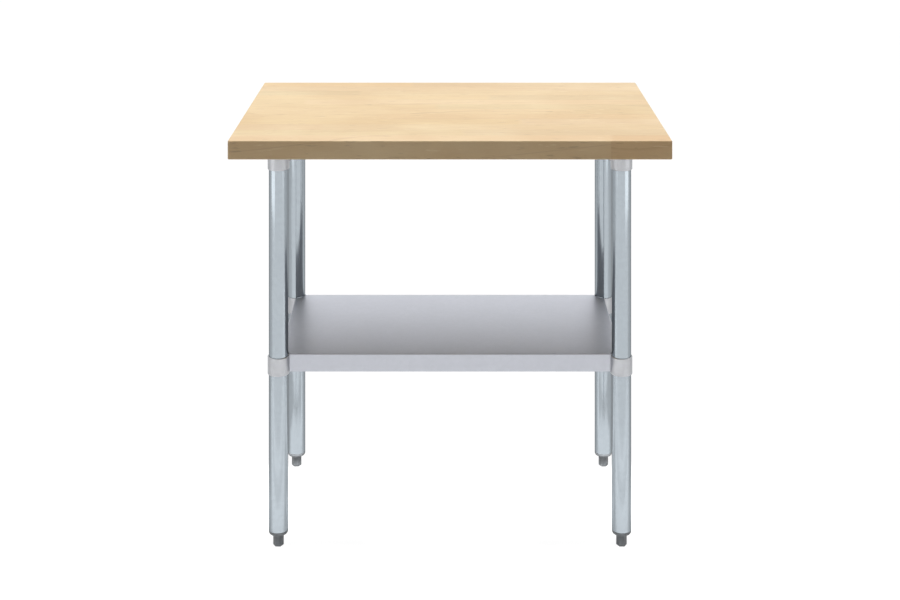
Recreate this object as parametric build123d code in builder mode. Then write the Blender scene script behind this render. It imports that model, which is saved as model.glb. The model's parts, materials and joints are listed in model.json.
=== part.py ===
from build123d import *
import os

# A butcher block worktable: a finger-jointed maple top on four tubular legs, with an undershelf that
# can be moved up and down the legs and a levelling foot under each leg. Millimetres, +Z up, front at -Y.
# The origin is on the floor under the middle of the table.

# Worktop
table_width = 914.4
table_depth = 609.6
table_height = 889.0
top_thickness = 38.1
top_corner_radius = 3.0
top_edge_radius = 1.5

# Staves of the worktop, each of two blocks with a finger joint between them
stave_count = 12
joint_inset = 121.2
joint_step_count = 5
fingers_per_stave = 6
finger_length = 10.0
finger_tip = 1.2

# Legs, set in from the edges of the worktop
leg_inset_x = 91.2
leg_inset_y = 118.3
tube_diameter = 41.275
tube_wall = 1.2
leg_clearance = 0.3

# Cast sockets under the worktop
socket_wall = 2.2
socket_height = 49.0
flange_size = 76.2
flange_thickness = 5.0
flange_corner_radius = 8.0
flange_root_radius = 4.0
flange_screw_spacing = 50.8

# Wood screws through the socket flanges
wood_screw_diameter = 4.8
wood_screw_length = 25.0
wood_screw_head_diameter = 9.2
wood_screw_head_height = 3.2
wood_screw_clearance = 0.35
pilot_clearance = 0.1
pilot_end_gap = 1.0

# Set screws that lock sockets and collars on the legs, on the inward diagonal
set_screw_diameter = 6.35
set_screw_length = 8.0
set_screw_clearance = 0.1
set_screw_tip_gap = 0.1
set_screw_key = 3.2
set_screw_key_depth = 3.0
boss_diameter = 14.0
boss_height = 5.0
socket_screw_height = 18.0
collar_screw_height = 15.0

# Undershelf pan, with turned-down lips and a return along the bottom of each lip
shelf_height = 406.4
sheet = 1.2
lip_height = 38.1
lip_return = 12.0
bend_radius = 2.5

# Cast collars that carry the undershelf on the legs
collar_height = 38.1
collar_drop = 2.4
weld_gap = 0.25
tab_thickness = 2.5
tab_reach = 48.0

# Hat-section stiffener under the pan
hat_height = 25.4
hat_crown = 60.0
hat_base = 80.0
hat_flange = 20.0
hat_end_gap = 5.0

# Levelling feet
foot_height = 25.6
foot_across_flats = 19.5
foot_edge = 1.0
plug_flange_height = 8.4
plug_flange_radius = 5.0
plug_depth = 50.0
plug_wall = 8.0
plug_fit = 0.1
rib_count = 5
rib_height = 3.0
stud_diameter = 12.7
stud_reach = 50.0
stud_seat = 18.0
stud_chamfer = 1.5
thread_fit = 0.05

# Levels and radii that follow from the sizes above
top_underside = table_height - top_thickness
stave_width = table_depth / stave_count
finger_pitch = stave_width / fingers_per_stave
joint_pitch = (table_width - 2 * joint_inset) / (stave_count - 1)
pilot_depth = wood_screw_length - flange_thickness + pilot_end_gap
leg_spacing_x = table_width - 2 * leg_inset_x
leg_spacing_y = table_depth - 2 * leg_inset_y
leg_bottom = foot_height + plug_flange_height
leg_top = top_underside - flange_thickness
tube_radius = tube_diameter / 2
bore_radius = tube_radius + leg_clearance
socket_radius = bore_radius + socket_wall
socket_bottom = top_underside - socket_height
rim_radius = 0.8 * socket_wall
boss_reach = socket_radius + boss_height
collar_top = shelf_height - collar_drop
collar_bottom = collar_top - collar_height
lip_bottom = shelf_height - lip_height
pan_underside = shelf_height - sheet

# One upright plane per leg, on the leg axis at the floor, with both of its own axes pointing inward
leg_x = leg_spacing_x / 2
leg_y = leg_spacing_y / 2
corners = {
    "front_left": Plane((-leg_x, -leg_y, 0), x_dir=(1, 0, 0)),
    "front_right": Plane((leg_x, -leg_y, 0), x_dir=(0, 1, 0)),
    "back_right": Plane((leg_x, leg_y, 0), x_dir=(-1, 0, 0)),
    "back_left": Plane((-leg_x, leg_y, 0), x_dir=(0, -1, 0)),
}
leg_points = [corner.origin for corner in corners.values()]
flange_screw_points = [
    (point.X + side_x * flange_screw_spacing / 2, point.Y + side_y * flange_screw_spacing / 2)
    for point in leg_points
    for side_x in (-1, 1)
    for side_y in (-1, 1)
]

os.makedirs("parts", exist_ok=True)


def set_screw_plane(corner, height):
    """A plane on the leg axis that faces along the corner's inward diagonal."""
    return Plane(corner.offset(height).origin, z_dir=corner.x_dir + corner.y_dir)


def joint_place(stave):
    """X of the finger joint in a stave, which has a place of its own, far from its neighbours' joints."""
    return table_width / 2 - joint_inset - joint_pitch * (stave * joint_step_count % stave_count)


def finger_line(joint_x, front_y):
    """Points of a finger joint, from the front edge of its stave to the back edge."""
    root_x = joint_x - finger_length / 2
    tip_x = joint_x + finger_length / 2
    points = [(root_x, front_y)]
    for finger in range(fingers_per_stave):
        start = front_y + finger * finger_pitch
        points.append((root_x, start + finger_tip / 2))
        points.append((tip_x, start + finger_pitch / 2 - finger_tip / 2))
        points.append((tip_x, start + finger_pitch / 2 + finger_tip / 2))
        points.append((root_x, start + finger_pitch - finger_tip / 2))
    points.append((root_x, front_y + stave_width))
    return points


# The outer form of the finished worktop, with eased edges, which every block is cut to
with BuildPart() as top_form:
    with BuildSketch(Plane.XY.offset(top_underside)):
        RectangleRounded(table_width, table_depth, top_corner_radius)
    extrude(amount=top_thickness)
    fillet(top_form.faces().sort_by(Axis.Z)[-1].edges(), top_edge_radius)
    fillet(top_form.faces().sort_by(Axis.Z)[0].edges(), top_edge_radius)

# The worktop's blocks, stave by stave from the front to the back; the two of a stave mesh at their fingers
for stave in range(stave_count):
    front_y = stave * stave_width - table_depth / 2
    back_y = front_y + stave_width
    joint = finger_line(joint_place(stave), front_y)
    holes = [
        (x, y, top_underside)
        for x, y in flange_screw_points
        if abs(y - (front_y + back_y) / 2) < stave_width / 2 + wood_screw_diameter
    ]
    for side, end_x in {"left": -table_width / 2, "right": table_width / 2}.items():
        with BuildPart() as top_block:
            with BuildSketch(Plane.XY.offset(top_underside)):
                with BuildLine():
                    Polyline((end_x, back_y), (end_x, front_y), *joint, close=True)
                make_face()
            extrude(amount=top_thickness)
            add(top_form.part, mode=Mode.INTERSECT)
            if holes:
                with Locations(*holes):
                    Hole(wood_screw_diameter / 2 + pilot_clearance, pilot_depth)
        top_block.part.label = f"top_block_{stave + 1:02d}_{side}"
        export_step(top_block.part, f"parts/{top_block.part.label}.step")

for corner_name, corner in corners.items():
    # Leg tube, seated on the flange of its socket
    with BuildPart() as leg_tube:
        with BuildSketch(corner.offset(leg_bottom)):
            Circle(tube_radius)
            Circle(tube_radius - tube_wall, mode=Mode.SUBTRACT)
        extrude(amount=leg_top - leg_bottom)
    leg_tube.part.label = f"leg_tube_{corner_name}"
    export_step(leg_tube.part, f"parts/leg_tube_{corner_name}.step")

    # Cast socket: a screwed flange, a blind bore for the tube and a boss for the set screw
    with BuildPart() as leg_socket:
        with BuildSketch(corner.offset(top_underside)):
            RectangleRounded(flange_size, flange_size, flange_corner_radius)
        extrude(amount=-flange_thickness)
        with BuildSketch(corner.offset(leg_top)):
            Circle(socket_radius)
        extrude(amount=socket_bottom - leg_top)
        barrel_edges = leg_socket.edges().filter_by(GeomType.CIRCLE)
        barrel_edges = barrel_edges.filter_by(lambda edge: abs(edge.radius - socket_radius) < socket_wall / 2)
        fillet(barrel_edges.sort_by(Axis.Z)[-1], flange_root_radius)
        fillet(barrel_edges.sort_by(Axis.Z)[0], rim_radius)
        screw_plane = set_screw_plane(corner, socket_bottom + socket_screw_height)
        with BuildSketch(screw_plane):
            Circle(boss_diameter / 2)
        extrude(amount=boss_reach)
        with BuildSketch(corner.offset(socket_bottom)):
            Circle(bore_radius)
        extrude(amount=leg_top - socket_bottom, mode=Mode.SUBTRACT)
        with BuildSketch(screw_plane):
            Circle(set_screw_diameter / 2 + set_screw_clearance)
        extrude(amount=boss_reach, mode=Mode.SUBTRACT)
        with BuildSketch(corner.offset(top_underside)):
            with GridLocations(flange_screw_spacing, flange_screw_spacing, 2, 2):
                Circle(wood_screw_diameter / 2 + wood_screw_clearance)
        extrude(amount=-flange_thickness, mode=Mode.SUBTRACT)
    leg_socket.part.label = f"leg_socket_{corner_name}"
    export_step(leg_socket.part, f"parts/leg_socket_{corner_name}.step")

    # Cast collar of the undershelf, with two tabs that lie against the inside of the pan's lips
    with BuildPart() as shelf_collar:
        with BuildSketch(corner.offset(collar_bottom)):
            Circle(socket_radius)
        extrude(amount=collar_height)
        fillet(shelf_collar.edges().filter_by(GeomType.CIRCLE), rim_radius)
        tab_foot = lip_bottom + sheet + bend_radius
        with BuildSketch(corner.offset(tab_foot)):
            with Locations((0, sheet)):
                Rectangle(tab_reach, tab_thickness, align=(Align.MIN, Align.MIN))
            with Locations((sheet, 0)):
                Rectangle(tab_thickness, tab_reach, align=(Align.MIN, Align.MIN))
        extrude(amount=pan_underside - bend_radius - tab_foot)
        screw_plane = set_screw_plane(corner, collar_bottom + collar_screw_height)
        with BuildSketch(screw_plane):
            Circle(boss_diameter / 2)
        extrude(amount=boss_reach)
        with BuildSketch(corner.offset(collar_bottom)):
            Circle(bore_radius)
        extrude(amount=collar_height, mode=Mode.SUBTRACT)
        with BuildSketch(screw_plane):
            Circle(set_screw_diameter / 2 + set_screw_clearance)
        extrude(amount=boss_reach, mode=Mode.SUBTRACT)
    shelf_collar.part.label = f"shelf_collar_{corner_name}"
    export_step(shelf_collar.part, f"parts/shelf_collar_{corner_name}.step")

    # Plug in the lower end of the tube: ribs that grip the tube, and a flange under the tube's end
    with BuildPart() as foot_plug:
        with BuildSketch(corner.offset(foot_height)):
            Circle(tube_radius)
        extrude(amount=plug_flange_height)
        fillet(foot_plug.edges().sort_by(Axis.Z)[0], plug_flange_radius)
        with BuildSketch(corner.offset(leg_bottom)):
            Circle(stud_diameter / 2 + plug_wall)
        extrude(amount=plug_depth)
        rib_pitch = plug_depth / rib_count
        for rib in range(rib_count):
            with BuildSketch(corner.offset(leg_bottom + (rib + 0.5) * rib_pitch)):
                Circle(tube_radius - tube_wall - plug_fit)
            extrude(amount=rib_height / 2, both=True)
        with BuildSketch(corner.offset(foot_height)):
            Circle(stud_diameter / 2 + thread_fit)
        extrude(amount=plug_flange_height + plug_depth, mode=Mode.SUBTRACT)
    foot_plug.part.label = f"foot_plug_{corner_name}"
    export_step(foot_plug.part, f"parts/foot_plug_{corner_name}.step")

    # Stud of the levelling foot
    with BuildPart() as foot_stud:
        with BuildSketch(corner.offset(foot_height - stud_seat)):
            Circle(stud_diameter / 2)
        extrude(amount=stud_seat + stud_reach)
        chamfer(foot_stud.edges().sort_by(Axis.Z)[-1], stud_chamfer)
    foot_stud.part.label = f"foot_stud_{corner_name}"
    export_step(foot_stud.part, f"parts/foot_stud_{corner_name}.step")

    # Hexagonal foot on the stud, with a flat to the front
    with BuildPart() as foot_hex:
        with BuildSketch(Plane(corner.origin)):
            RegularPolygon(foot_across_flats / 2, 6, major_radius=False)
        extrude(amount=foot_height)
        chamfer(foot_hex.faces().sort_by(Axis.Z)[0].edges(), foot_edge)
        with BuildSketch(Plane(corner.origin).offset(foot_height)):
            Circle(stud_diameter / 2 + thread_fit)
        extrude(amount=-stud_seat, mode=Mode.SUBTRACT)
    foot_hex.part.label = f"foot_hex_{corner_name}"
    export_step(foot_hex.part, f"parts/foot_hex_{corner_name}.step")

# Undershelf pan: a hollow tray turned upside down, its bottom open inside the returns of the lips,
# and its corners cut out round the collars
with BuildPart() as shelf_pan:
    with BuildSketch(Plane.XY.offset(lip_bottom)):
        Rectangle(leg_spacing_x, leg_spacing_y)
    extrude(amount=lip_height)
    fillet(shelf_pan.faces().sort_by(Axis.Z)[-1].edges(), bend_radius)
    fillet(shelf_pan.faces().sort_by(Axis.Z)[0].edges(), bend_radius)
    offset(amount=-sheet, mode=Mode.SUBTRACT)
    with BuildSketch(Plane.XY.offset(lip_bottom)):
        Rectangle(leg_spacing_x - 2 * lip_return, leg_spacing_y - 2 * lip_return)
    extrude(amount=sheet, mode=Mode.SUBTRACT)
    with BuildSketch(Plane.XY.offset(lip_bottom)):
        with GridLocations(leg_spacing_x, leg_spacing_y, 2, 2):
            Circle(socket_radius + weld_gap)
    extrude(amount=lip_height, mode=Mode.SUBTRACT)
shelf_pan.part.label = "shelf_pan"
export_step(shelf_pan.part, "parts/shelf_pan.step")

# Hat-section stiffener, along the middle of the pan's underside
with BuildPart() as shelf_stiffener:
    hat_length = leg_spacing_x - 2 * (bend_radius + hat_end_gap)
    with BuildSketch(Plane.YZ.offset(-hat_length / 2)):
        with BuildLine():
            Polyline(
                (-hat_base / 2 - hat_flange, pan_underside),
                (-hat_base / 2, pan_underside),
                (-hat_crown / 2, pan_underside - hat_height),
                (hat_crown / 2, pan_underside - hat_height),
                (hat_base / 2, pan_underside),
                (hat_base / 2 + hat_flange, pan_underside),
            )
            offset(amount=sheet, side=Side.RIGHT)
        make_face()
    extrude(amount=hat_length)
shelf_stiffener.part.label = "shelf_stiffener"
export_step(shelf_stiffener.part, "parts/shelf_stiffener.step")

# Wood screws that hold the socket flanges to the worktop
with BuildPart() as socket_screws:
    with BuildSketch(Plane.XY.offset(leg_top)):
        with Locations(*flange_screw_points):
            Circle(wood_screw_head_diameter / 2)
    extrude(amount=-wood_screw_head_height)
    fillet(socket_screws.faces().group_by(Axis.Z)[0].edges(), wood_screw_head_height / 2)
    with BuildSketch(Plane.XY.offset(leg_top)):
        with Locations(*flange_screw_points):
            Circle(wood_screw_diameter / 2)
    extrude(amount=wood_screw_length)
    chamfer(socket_screws.faces().group_by(Axis.Z)[-1].edges(), wood_screw_diameter, wood_screw_diameter / 4)
socket_screws.part.label = "socket_screws"
export_step(socket_screws.part, "parts/socket_screws.step")

# Set screws of the sockets and of the collars, with a hexagonal key recess in the outer end
for group_name, screw_height in {
    "socket_set_screws": socket_bottom + socket_screw_height,
    "collar_set_screws": collar_bottom + collar_screw_height,
}.items():
    with BuildPart() as set_screws:
        for corner in corners.values():
            screw_plane = set_screw_plane(corner, screw_height).offset(tube_radius + set_screw_tip_gap)
            with BuildSketch(screw_plane):
                Circle(set_screw_diameter / 2)
            extrude(amount=set_screw_length)
            with BuildSketch(screw_plane.offset(set_screw_length)):
                RegularPolygon(set_screw_key / 2, 6, major_radius=False)
            extrude(amount=-set_screw_key_depth, mode=Mode.SUBTRACT)
    set_screws.part.label = group_name
    export_step(set_screws.part, f"parts/{group_name}.step")
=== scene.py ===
import json
import math
import random

import bpy
from mathutils import Matrix, Vector


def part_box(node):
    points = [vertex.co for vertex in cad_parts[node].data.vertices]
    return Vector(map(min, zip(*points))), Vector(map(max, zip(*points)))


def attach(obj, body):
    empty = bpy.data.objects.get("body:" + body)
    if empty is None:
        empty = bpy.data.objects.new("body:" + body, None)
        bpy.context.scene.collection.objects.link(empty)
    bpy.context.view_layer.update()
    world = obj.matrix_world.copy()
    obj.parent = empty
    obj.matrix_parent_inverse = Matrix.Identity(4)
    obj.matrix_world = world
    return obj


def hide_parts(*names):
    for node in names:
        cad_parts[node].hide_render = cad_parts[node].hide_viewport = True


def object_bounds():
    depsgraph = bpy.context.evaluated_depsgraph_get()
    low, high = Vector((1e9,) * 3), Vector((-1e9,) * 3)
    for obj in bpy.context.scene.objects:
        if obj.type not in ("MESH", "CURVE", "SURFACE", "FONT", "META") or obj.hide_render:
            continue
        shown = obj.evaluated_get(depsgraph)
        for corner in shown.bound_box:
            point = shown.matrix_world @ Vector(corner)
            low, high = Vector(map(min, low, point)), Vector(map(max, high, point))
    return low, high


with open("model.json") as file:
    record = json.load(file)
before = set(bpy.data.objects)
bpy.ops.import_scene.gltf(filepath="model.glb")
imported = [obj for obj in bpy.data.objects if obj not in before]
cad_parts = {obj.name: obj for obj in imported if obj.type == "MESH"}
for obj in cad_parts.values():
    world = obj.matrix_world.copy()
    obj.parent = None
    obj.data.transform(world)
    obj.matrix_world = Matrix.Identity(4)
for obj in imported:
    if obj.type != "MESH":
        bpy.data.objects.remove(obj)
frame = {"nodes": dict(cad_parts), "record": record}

cad_box = [list(corner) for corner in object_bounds()]
worktop_front = cad_box[0][1]
worktop_height = cad_box[1][2]

# The photograph's view: its frame, focal length and horizon in pixels, and the camera's place in metres
photo_width = 900
photo_height = 600
focal_length = 1479.7
horizon_row = -209.7
camera_distance = 3.04
camera_height = 1.6097
sensor_width = 36.0

# Studio, in metres, watts and degrees. A level of 1 is white. The light of the walls gives way to that
# of the ceiling between two directions, each given by its upward part.
floor_radius = 60.0
floor_corners = 96
floor_glow = 0.965
floor_colour = (0.08, 0.08, 0.08, 1)
wall_level = 0.245
wall_end = 0.12
ceiling_level = 0.10
ceiling_start = 0.40
key_distance = 4
key_strength = 2.72
key_tilt = 20
key_softness = 60

# Panels that face down just above the floor: place, size, power and spread. The upright tubes mirror
# the floor, so its bright and dim parts make the stripes along them.
floor_panels = {
    "floor_near": ((0, -0.3125, 0.06), (2.6, 0.175), 10.8, 80),
    "floor_front": ((0, -0.52, 0.15), (2.6, 0.24), 12.0, 90),
    "floor_far": ((0, -2.50, 0.12), (5.0, 3.9), 290, 40),
    "floor_centre": ((0, -0.095, 0.06), (0.30, 0.24), 0.45, 90),
    "floor_deep": ((0, 0.105, 0.06), (0.30, 0.15), 1.25, 90),
    "floor_back_-1": ((-0.373, 0.02, 0.06), (0.446, 0.29), 3.3, 90),
    "floor_back_1": ((0.373, 0.02, 0.06), (0.446, 0.29), 3.3, 90),
}

# One panel on each side of the table, a little in front of it, which gives the front legs a bright stripe
side_panel_reach = 1.25
side_panel_front = -0.86
side_panel_height = 0.52
side_panel_size = (1.1, 0.25)
side_panel_power = 0.9
side_panel_spread = 160
side_panel_roll = 9.5

# Maple: its own colours, from pale wood to flecks and glue, and a pale colour for glint spots painted in as
# highlights, and the widths of its lines in metres.
# Blender's ring texture repeats at the unit step where its scale is 1.
pale_wood = (0.935, 0.73, 0.44)
warm_wood = (0.815, 0.585, 0.32)
cloudy_wood = (0.78, 0.55, 0.295)
grain_line = (0.60, 0.385, 0.195)
dark_fleck = (0.44, 0.28, 0.14)
# Painted highlight: a pale colour for small glint spots mixed into the wood's colour
painted_glint = (0.98, 0.79, 0.52)
glue = (0.55, 0.36, 0.19)
glue_width = 0.0005
glue_strength = 0.4
ring_line = 0.003
unit_ring_step = math.pi / 10

# What the photograph shows of the front blocks: their tone, and a growth ring up the left one's face
seen_blocks = {
    "top_block_01_left": {
        "level": 1.02,
        "warmth": 0.015,
        "rosiness": 0.014,
        "slope": math.radians(6.4),
        "skew": 0,
        "pith": (0, -worktop_front, 0.10 - worktop_height),
        "phase": 1.63,
        "ring_step": 0.07,
        "waviness": 0.2,
    },
    "top_block_01_right": {"level": 0.965, "warmth": 0.11, "rosiness": 0.025},
}

# Metals and plastic: the colour of the zinc on tubes and sheet, and the light and dark tones of the others
tube_zinc = (0.335, 0.372, 0.402)
sheet_zinc = (0.417, 0.429, 0.467)
alloy_tones = ((0.415, 0.423, 0.440, 1), (0.37, 0.377, 0.393, 1))
plastic_tones = ((0.276, 0.294, 0.310, 1), (0.242, 0.255, 0.269, 1))
plating_tones = ((0.60, 0.62, 0.66, 1), (0.50, 0.51, 0.54, 1))
spangles_per_metre = 130

# Thread of the levelling feet: 13 turns to the inch
thread_pitch = 0.0254 / 13
thread_depth = 0.0012
thread_steps = 32


def socket_or_value(tree, target, source):
    """Links an output socket to an input, or sets the input to a plain value."""
    if isinstance(source, bpy.types.NodeSocket):
        tree.links.new(source, target)
    else:
        target.default_value = source


def new_material(name):
    """A node material with its tree and its Principled shader."""
    material = bpy.data.materials.new(name)
    material.use_nodes = True
    tree = material.node_tree
    return material, tree, tree.nodes["Principled BSDF"]


def placed(tree, per_metre, location=(0, 0, 0), rotation=(0, 0, 0)):
    """The object's own coordinates, scaled, turned and moved."""
    coordinates = tree.nodes.new("ShaderNodeTexCoord")
    mapping = tree.nodes.new("ShaderNodeMapping")
    mapping.inputs["Scale"].default_value = per_metre
    mapping.inputs["Location"].default_value = location
    mapping.inputs["Rotation"].default_value = rotation
    tree.links.new(coordinates.outputs["Object"], mapping.inputs["Vector"])
    return mapping.outputs["Vector"]


def noise(tree, vector, detail, roughness):
    """Cloud noise about one unit in size, from 0 to 1."""
    texture = tree.nodes.new("ShaderNodeTexNoise")
    texture.inputs["Scale"].default_value = 1.0
    texture.inputs["Detail"].default_value = detail
    texture.inputs["Roughness"].default_value = roughness
    tree.links.new(vector, texture.inputs["Vector"])
    return texture.outputs[0]


def remapped(tree, value, span, result):
    """A smooth step between two results, as a value goes from one end of a span to the other."""
    node = tree.nodes.new("ShaderNodeMapRange")
    node.interpolation_type = "SMOOTHSTEP"
    tree.links.new(value, node.inputs["Value"])
    node.inputs["From Min"].default_value, node.inputs["From Max"].default_value = span
    node.inputs["To Min"].default_value, node.inputs["To Max"].default_value = result
    return node.outputs["Result"]


def mixed(tree, factor, first, second):
    """Two colours mixed by a factor."""
    node = tree.nodes.new("ShaderNodeMix")
    node.data_type = "RGBA"
    socket_or_value(tree, node.inputs[0], factor)
    socket_or_value(tree, node.inputs[6], first)
    socket_or_value(tree, node.inputs[7], second)
    return node.outputs[2]


def larger(tree, first, second):
    """The larger of two values."""
    node = tree.nodes.new("ShaderNodeMath")
    node.operation = "MAXIMUM"
    tree.links.new(first, node.inputs[0])
    tree.links.new(second, node.inputs[1])
    return node.outputs[0]


def bumped(tree, shader, height, distance, strength):
    """A bump on the shader from a height between 0 and 1."""
    bump = tree.nodes.new("ShaderNodeBump")
    bump.inputs["Distance"].default_value = distance
    bump.inputs["Strength"].default_value = strength
    tree.links.new(height, bump.inputs["Height"])
    tree.links.new(bump.outputs["Normal"], shader.inputs["Normal"])


def tinted(colour, level, warmth=0.0, rosiness=0.0):
    """A colour made lighter or darker, warmer or cooler, and rosier or greener."""
    red, green, blue = colour
    return (red * level, green * level * (1 - warmth / 3 - rosiness), blue * level * (1 - warmth), 1)


def growth_rings(tree, look, turn):
    """Rings round a pith that lies at a slant to the block, rising from 0 to 1 in each ring."""
    rings = tree.nodes.new("ShaderNodeTexWave")
    rings.wave_type = "RINGS"
    rings.rings_direction = "X"
    rings.wave_profile = "SAW"
    rings.inputs["Scale"].default_value = unit_ring_step / look["ring_step"]
    rings.inputs["Distortion"].default_value = look["waviness"]
    rings.inputs["Detail"].default_value = 2.0
    rings.inputs["Detail Scale"].default_value = 0.5
    rings.inputs["Phase Offset"].default_value = look["phase"]
    tree.links.new(placed(tree, (1, 1, 1), look["pith"], turn), rings.inputs["Vector"])
    return rings.outputs["Fac"]


def glue_lines(tree, look):
    """How much of a glue line shows, from nothing inside the block to its sides along the grain."""
    coordinates = tree.nodes.new("ShaderNodeTexCoord")
    split = tree.nodes.new("ShaderNodeSeparateXYZ")
    tree.links.new(coordinates.outputs["Object"], split.inputs[0])
    front, back = look["glued_sides"]
    front_line = remapped(tree, split.outputs["Y"], (front + glue_width, front), (0, glue_strength))
    back_line = remapped(tree, split.outputs["Y"], (back - glue_width, back), (0, glue_strength))
    return larger(tree, front_line, back_line)


def maple(name, look):
    """Oiled maple of one block: soft patches, slanting growth rings, fibres, short dark flecks, pale spots
    painted in as glints, and glue lines.
    """
    material, tree, shader = new_material(name)
    turn = (0, look["slope"], look["skew"])

    patches = noise(tree, placed(tree, (3.6, 6, 6)), 2, 0.5)
    clouds = noise(tree, placed(tree, (12, 40, 40), look["place"], turn), 4, 0.6)
    rings = growth_rings(tree, look, turn)
    fibres = noise(tree, placed(tree, (40, 600, 600), look["place"]), 4, 0.6)
    flecks = noise(tree, placed(tree, (26, 170, 170), look["place"]), 2, 0.5)

    def tone(colour):
        return tinted(colour, look["level"], look["warmth"], look["rosiness"])

    line_start = 1 - ring_line / look["ring_step"]
    colour = mixed(tree, remapped(tree, patches, (0.35, 0.65), (0.1, 0.85)), tone(pale_wood), tone(warm_wood))
    for share, other in (
        (remapped(tree, clouds, (0.35, 0.75), (0, 0.26)), cloudy_wood),
        (remapped(tree, rings, (line_start, 1.0), (0, 0.34)), grain_line),
        (remapped(tree, fibres, (0.40, 0.75), (0, 0.08)), grain_line),
        (remapped(tree, flecks, (0.64, 0.74), (0, 0.36)), dark_fleck),
        # Painted highlight: pale glint spots mixed into the colour where the fleck noise is low
        (remapped(tree, flecks, (0.36, 0.26), (0, 0.60)), painted_glint),
        (glue_lines(tree, look), glue),
    ):
        colour = mixed(tree, share, colour, tone(other))
    tree.links.new(colour, shader.inputs["Base Color"])
    tree.links.new(remapped(tree, fibres, (0.2, 0.8), (0.42, 0.56)), shader.inputs["Roughness"])
    shader.inputs["IOR"].default_value = 1.45
    bumped(tree, shader, fibres, 0.0002, 0.25)
    return material


def glued_sides(name):
    """Where a block's front and back are; one on the worktop's outside has no glue, so it is set far off."""
    sides = [corner[1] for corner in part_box(name)]
    return [side if abs(side) < -worktop_front - glue_width else 2 * side for side in sides]


def block_look(name):
    """The tone of a block and how its growth rings lie, by chance or as the photograph shows them."""
    chance = random.Random(name)
    look = {
        "place": [chance.uniform(-9, 9) for axis in range(3)],
        "level": chance.uniform(0.96, 1.02),
        "warmth": chance.uniform(-0.04, 0.08),
        "rosiness": chance.uniform(-0.012, 0.016),
        "slope": chance.uniform(-0.16, 0.16),
        "skew": chance.uniform(-0.16, 0.16),
        "pith": (0, chance.uniform(-0.08, 0.08), chance.uniform(0.05, 0.12) - worktop_height),
        "phase": chance.uniform(0, 2 * math.pi),
        "ring_step": chance.uniform(0.026, 0.044),
        "waviness": chance.uniform(1.5, 3.5),
        "glued_sides": glued_sides(name),
    }
    look.update(seen_blocks.get(name, {}))
    return look


def galvanised(name, colour, grain, roughness, edge_level, brushing):
    """Satin zinc on steel: faint spangle, lines along the grain, slightly uneven gloss that spreads across
    the rolling direction where it is brushed, and duller reflections at a glancing angle."""
    material, tree, shader = new_material(name)
    lines = noise(tree, placed(tree, grain), 3, 0.6)
    clouds = noise(tree, placed(tree, (9, 9, 9)), 4, 0.6)
    spangle = tree.nodes.new("ShaderNodeTexVoronoi")
    spangle.inputs["Scale"].default_value = spangles_per_metre
    tree.links.new(placed(tree, (1, 1, 1)), spangle.inputs["Vector"])
    cells = tree.nodes.new("ShaderNodeSeparateColor")
    tree.links.new(spangle.outputs["Color"], cells.inputs["Color"])
    light = tinted(colour, 1.05)
    dark = tinted(colour, 0.93)
    tone = mixed(tree, remapped(tree, cells.outputs["Red"], (0, 1), (0.35, 0.65)), dark, light)
    tone = mixed(tree, remapped(tree, clouds, (0.3, 0.7), (0, 0.35)), tone, dark)
    gloss = remapped(tree, lines, (0.25, 0.75), (roughness - 0.015, roughness + 0.02))
    tree.links.new(tone, shader.inputs["Base Color"])
    tree.links.new(gloss, shader.inputs["Roughness"])
    shader.inputs["Metallic"].default_value = 1.0
    shader.inputs["Specular Tint"].default_value = (edge_level, edge_level, edge_level, 1)
    shader.inputs["Anisotropic"].default_value = brushing
    rolling = tree.nodes.new("ShaderNodeTangent")
    rolling.direction_type = "RADIAL"
    rolling.axis = "X"
    tree.links.new(rolling.outputs["Tangent"], shader.inputs["Tangent"])
    bumped(tree, shader, lines, 0.0001, 0.015)
    return material


def cast_alloy(name):
    """Satin cast alloy with a fine sandy skin."""
    material, tree, shader = new_material(name)
    skin = noise(tree, placed(tree, (900, 900, 900)), 4, 0.65)
    clouds = noise(tree, placed(tree, (45, 45, 45)), 4, 0.6)
    tone = mixed(tree, remapped(tree, clouds, (0.3, 0.7), (0, 1)), *alloy_tones)
    tree.links.new(tone, shader.inputs["Base Color"])
    tree.links.new(remapped(tree, skin, (0.25, 0.75), (0.36, 0.44)), shader.inputs["Roughness"])
    shader.inputs["Metallic"].default_value = 1.0
    bumped(tree, shader, skin, 0.0002, 0.25)
    return material


def grey_plastic(name):
    """Moulded grey plastic with a fine matte texture."""
    material, tree, shader = new_material(name)
    skin = noise(tree, placed(tree, (1500, 1500, 1500)), 3, 0.6)
    clouds = noise(tree, placed(tree, (60, 60, 60)), 3, 0.5)
    tone = mixed(tree, remapped(tree, clouds, (0.3, 0.7), (0, 1)), *plastic_tones)
    tree.links.new(tone, shader.inputs["Base Color"])
    tree.links.new(remapped(tree, skin, (0.25, 0.75), (0.46, 0.60)), shader.inputs["Roughness"])
    bumped(tree, shader, skin, 0.0001, 0.25)
    return material


def zinc_plate(name):
    """Bright zinc plating on small screws and studs, with faint drawing marks."""
    material, tree, shader = new_material(name)
    marks = noise(tree, placed(tree, (400, 400, 60)), 3, 0.6)
    tone = mixed(tree, remapped(tree, marks, (0.3, 0.7), (0, 1)), *plating_tones)
    tree.links.new(tone, shader.inputs["Base Color"])
    tree.links.new(remapped(tree, marks, (0.25, 0.75), (0.24, 0.36)), shader.inputs["Roughness"])
    shader.inputs["Metallic"].default_value = 1.0
    return material


def set_material(obj, material):
    """One material on all of an object's faces."""
    for slot in obj.material_slots:
        slot.material = material
    if not obj.material_slots:
        obj.data.materials.append(material)


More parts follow.
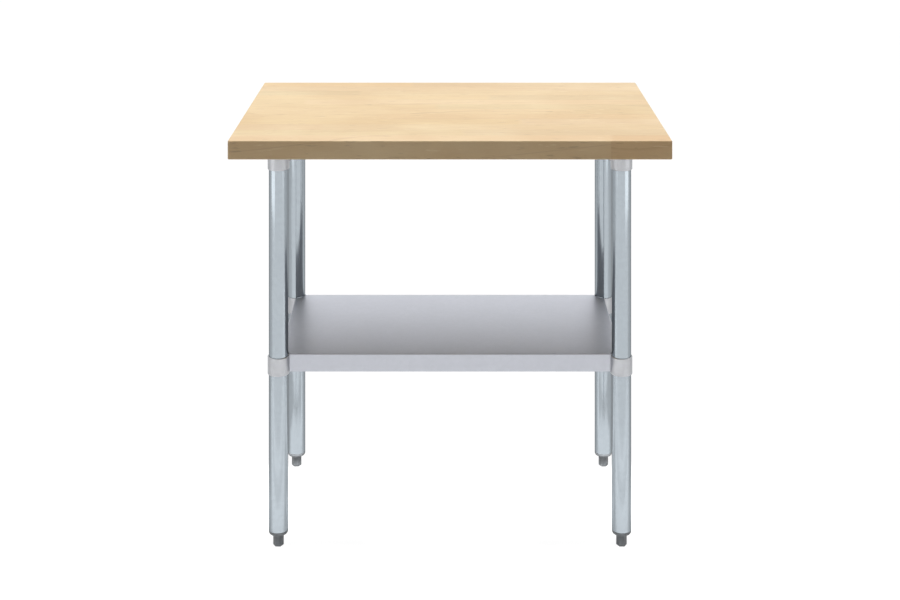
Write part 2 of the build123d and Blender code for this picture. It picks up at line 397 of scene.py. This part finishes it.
def dress_nodes():
    """A procedural material on every node, by its slot in the record; each maple block has its own."""
    by_slot = {
        "galvanised_tube": galvanised(
            "galvanised_tube", tube_zinc, grain=(900, 900, 6), roughness=0.16, edge_level=0.4, brushing=0
        ),
        "galvanised_sheet": galvanised(
            "galvanised_sheet", sheet_zinc, grain=(6, 900, 900), roughness=0.38, edge_level=0.5, brushing=0.6
        ),
        "cast_alloy": cast_alloy("cast_alloy"),
        "grey_plastic": grey_plastic("grey_plastic"),
        "zinc_plated_steel": zinc_plate("zinc_plated_steel"),
    }
    for row in frame["record"]["subparts"]:
        name = row["node"]
        if row["material_slot"] == "maple":
            material = maple(f"maple_{name}", block_look(name))
        else:
            material = by_slot[row["material_slot"]]
        set_material(frame["nodes"][name], material)
    return by_slot


def threaded_stud(node, body, material):
    """A stud with a real right-hand thread, in the place of its plain solid."""
    low, high = (Vector(corner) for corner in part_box(node))
    axis = (low + high) / 2
    crest = (high.x - low.x) / 2
    profile = (crest, crest, crest - thread_depth, crest - thread_depth)
    rows = (math.ceil((high.z - low.z) / thread_pitch) + 1) * len(profile)

    # Columns of points round the axis, each a little higher than the one before, cut off at both ends
    points = []
    for step in range(thread_steps):
        angle = 2 * math.pi * step / thread_steps
        for row in range(rows + 1):
            rise = (row / len(profile) - 1 + step / thread_steps) * thread_pitch
            z = min(max(low.z + rise, low.z), high.z)
            radius = min(profile[row % len(profile)], crest - max(0, z - (high.z - thread_depth)))
            points.append((axis.x + radius * math.cos(angle), axis.y + radius * math.sin(angle), z))

    # Faces between neighbouring columns; the last column joins the first one turn further up
    faces = []
    for step in range(thread_steps):
        start = step * (rows + 1)
        following = (step + 1) % thread_steps * (rows + 1)
        lead = len(profile) if step == thread_steps - 1 else 0
        for row in range(rows - lead):
            faces.append((start + row, following + row + lead, following + row + lead + 1, start + row + 1))
    faces.append([step * (rows + 1) + rows for step in range(thread_steps)])

    mesh = bpy.data.meshes.new(f"{node}_thread")
    mesh.from_pydata(points, [], faces)
    mesh.materials.append(material)
    stud = bpy.data.objects.new(f"{node}_thread", mesh)
    bpy.context.scene.collection.objects.link(stud)
    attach(stud, body)
    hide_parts(node)


def seen_rays(tree):
    """1 for rays from the camera, in reflections and through glass, and 0 for the rest."""
    path = tree.nodes.new("ShaderNodeLightPath")
    seen = path.outputs["Is Camera Ray"]
    for name in ("Is Glossy Ray", "Is Transmission Ray"):
        seen = larger(tree, seen, path.outputs[name])
    return seen


def add_floor():
    """A wide pale floor that is white to the camera and in reflections, and takes the table's shadow."""
    bpy.ops.mesh.primitive_circle_add(vertices=floor_corners, radius=floor_radius, fill_type="NGON")
    floor = bpy.context.object
    floor.name = "floor"
    material, tree, shader = new_material("floor")
    shader.inputs["Base Color"].default_value = floor_colour
    shader.inputs["Roughness"].default_value = 1.0
    shader.inputs["Specular IOR Level"].default_value = 0.0
    shader.inputs["Emission Color"].default_value = (1, 1, 1, 1)
    glow = tree.nodes.new("ShaderNodeMath")
    glow.operation = "MULTIPLY"
    tree.links.new(seen_rays(tree), glow.inputs[0])
    glow.inputs[1].default_value = floor_glow
    tree.links.new(glow.outputs[0], shader.inputs["Emission Strength"])
    floor.data.materials.append(material)


def add_world():
    """A studio that is white to look at, with soft grey light from its walls and less from its ceiling."""
    world = bpy.data.worlds.new("studio")
    world.use_nodes = True
    tree = world.node_tree
    coordinates = tree.nodes.new("ShaderNodeTexCoord")
    direction = tree.nodes.new("ShaderNodeSeparateXYZ")
    tree.links.new(coordinates.outputs["Generated"], direction.inputs[0])
    upward = direction.outputs["Z"]
    light = remapped(tree, upward, (wall_end, ceiling_start), (wall_level, ceiling_level))
    background = tree.nodes["Background"]
    background.inputs["Color"].default_value = (1, 1, 1, 1)
    tree.links.new(larger(tree, light, seen_rays(tree)), background.inputs["Strength"])
    bpy.context.scene.world = world


def add_light(name, kind, place, target):
    """A lamp at a place, turned to a target and not itself seen by the camera."""
    data = bpy.data.lights.new(name, kind)
    lamp = bpy.data.objects.new(name, data)
    lamp.location = place
    lamp.rotation_euler = (Vector(target) - Vector(place)).to_track_quat("-Z", "Y").to_euler()
    lamp.visible_camera = False
    bpy.context.scene.collection.objects.link(lamp)
    return lamp


def add_panel(name, place, target, size, power, spread):
    """A rectangular soft light."""
    lamp = add_light(name, "AREA", place, target)
    panel = lamp.data
    panel.shape = "RECTANGLE"
    panel.size, panel.size_y = size
    panel.energy = power
    panel.spread = math.radians(spread)
    return lamp


def add_lights():
    """A soft key light from above and a little behind, and panels for the floor and the sides of the legs."""
    tilt = math.radians(key_tilt)
    key_place = (0, key_distance * math.sin(tilt), key_distance * math.cos(tilt))
    key = add_light("key", "SUN", key_place, (0, 0, 0)).data
    key.energy = key_strength
    key.angle = math.radians(key_softness)
    for name, (place, size, power, spread) in floor_panels.items():
        add_panel(name, place, (place[0], place[1], 0), size, power, spread)
    for side in (-1, 1):
        place = (side * side_panel_reach, side_panel_front, side_panel_height)
        target = (0, side_panel_front, side_panel_height)
        lamp = add_panel(f"side_{side}", place, target, side_panel_size, side_panel_power, side_panel_spread)
        lamp.rotation_euler.rotate_axis("Z", math.radians(side * side_panel_roll))


def add_camera():
    """The photograph's camera: its picture plane is upright, so uprights stay parallel, and it is framed
    far below its horizon. A stand with that slant holds it, so the lens itself has no shift."""
    slant = math.atan((photo_height / 2 - horizon_row) / focal_length)
    data = bpy.data.cameras.new("camera")
    data.sensor_width = sensor_width
    data.lens = focal_length / math.cos(slant) / photo_width * sensor_width
    camera = bpy.data.objects.new("camera", data)
    stand = bpy.data.objects.new("camera_stand", None)
    for obj in (camera, stand):
        bpy.context.scene.collection.objects.link(obj)
    camera.parent = stand
    camera.matrix_parent_inverse = Matrix((
        (1, 0, 0, 0),
        (0, 0, -math.cos(slant), worktop_front - camera_distance),
        (0, 1, math.sin(slant), camera_height),
        (0, 0, 0, 1),
    ))
    bpy.context.scene.camera = camera


materials = dress_nodes()
for corner in ("front_left", "front_right", "back_right", "back_left"):
    threaded_stud(f"foot_stud_{corner}", f"stud_{corner}", materials["zinc_plated_steel"])
add_floor()
add_world()
add_lights()
add_camera()
bpy.context.scene.view_settings.view_transform = "Standard"
